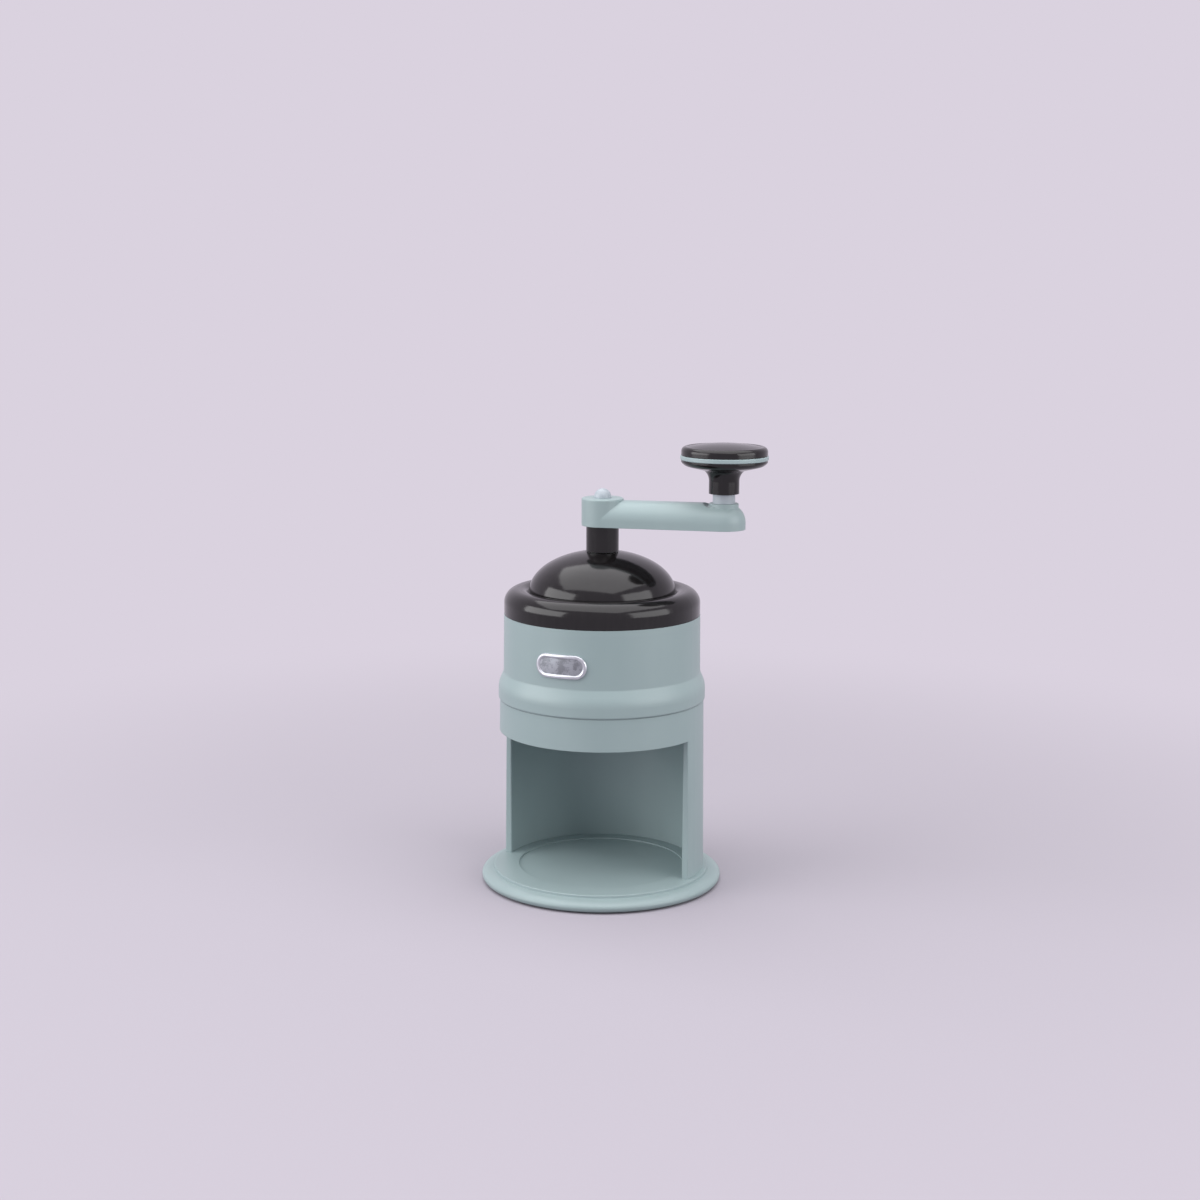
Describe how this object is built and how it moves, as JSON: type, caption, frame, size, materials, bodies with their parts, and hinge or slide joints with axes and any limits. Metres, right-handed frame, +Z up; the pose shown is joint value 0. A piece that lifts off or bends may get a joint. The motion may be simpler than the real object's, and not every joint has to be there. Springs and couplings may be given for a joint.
{
  "type": "hand-cranked ice shaver",
  "caption": "Compact hand-cranked ice shaver: a crank on a domed lid turns a spiked presser over a blade, and the shavings fall into an open bay for a bowl.",
  "frame": {"origin": "centre of the plane the rubber ring rests on, on the crank's axis", "axes": "+Z up along the crank's axis, -Y out of the open front of the bowl bay, +X to the right seen from the front"},
  "size_m": [0.1683, 0.145, 0.2671],
  "materials": {
    "mint_shell": "satin",
    "mint_accent": "gloss",
    "grey_plastic": "satin",
    "black_gloss": "gloss",
    "black_plastic": "matte",
    "inner_plastic": "satin",
    "blade_steel": "ground",
    "shaft_steel": "drawn",
    "screw_steel": "zinc plated",
    "badge_silver": "satin silver",
    "rubber_grey": "matte"
  },
  "bodies": {
    "stand": {"base": "mint_shell", "foot_ring": "rubber_grey", "base_screws": "screw_steel", "stand_column": "mint_shell", "upper_housing": "mint_shell", "badge_plate": "badge_silver", "ice_chamber": "inner_plastic", "chamber_screws": "screw_steel", "blade_bridge": "inner_plastic", "bridge_screws": "screw_steel"},
    "blade_unit": {"blade": "blade_steel", "blade_holder": "black_plastic", "blade_screws": "screw_steel"},
    "adjuster": {"adjuster_knob": "black_plastic", "adjuster_stem": "shaft_steel", "adjuster_clip": "screw_steel"},
    "lid": {"lid_cover": "black_gloss", "lid_liner": "inner_plastic", "lid_screws": "screw_steel", "spindle_bush": "inner_plastic"},
    "crank": {"spindle_collar": "black_gloss", "spindle_clip": "screw_steel", "drive_shaft": "shaft_steel", "seat_pin": "screw_steel", "spring_seat": "screw_steel", "shaft_stop_washer": "screw_steel", "shaft_stop_screw": "screw_steel", "crank_arm": "mint_shell", "cap_nut": "grey_plastic", "knob_post": "grey_plastic", "post_screw": "screw_steel", "knob_washer": "screw_steel", "knob_screw": "screw_steel"},
    "knob": {"knob_lower": "black_gloss", "knob_ring": "mint_accent", "knob_upper": "black_gloss"},
    "presser": {"presser_plate": "inner_plastic", "presser_spikes": "blade_steel", "presser_spring": "shaft_steel"}
  },
  "joints": [
    {"name": "lid_lift", "type": "slide", "parent": "stand", "child": "lid", "axis": [0, 0, 1], "range_m": [0, 0.13]},
    {"name": "crank_turn", "type": "hinge", "parent": "lid", "child": "crank", "pos_m": [0, 0, 0.20081], "axis": [0, 0, 1], "continuous": true},
    {"name": "knob_spin", "type": "hinge", "parent": "crank", "child": "knob", "pos_m": [0.07, 0.0181, 0.23781], "axis": [0, 0, 1], "continuous": true},
    {"name": "presser_rise", "type": "slide", "parent": "crank", "child": "presser", "axis": [0, 0, 1], "range_m": [0, 0.05], "stiffness_N_per_m": 100, "springref_m": -0.02, "deforming": ["presser_spring"]},
    {"name": "adjuster_turn", "type": "hinge", "parent": "stand", "child": "adjuster", "pos_m": [-0.02325, 0.01, 0.089], "axis": [0, 0, 1], "range_deg": [0, 270]},
    {"name": "blade_height", "type": "slide", "parent": "stand", "child": "blade_unit", "axis": [0, 0, 1], "range_m": [0, 0.001]}
  ],
  "couplings": [
    {"joint": "adjuster_turn", "follows": "blade_height", "rad_per_m": 4712.3}
  ]
}
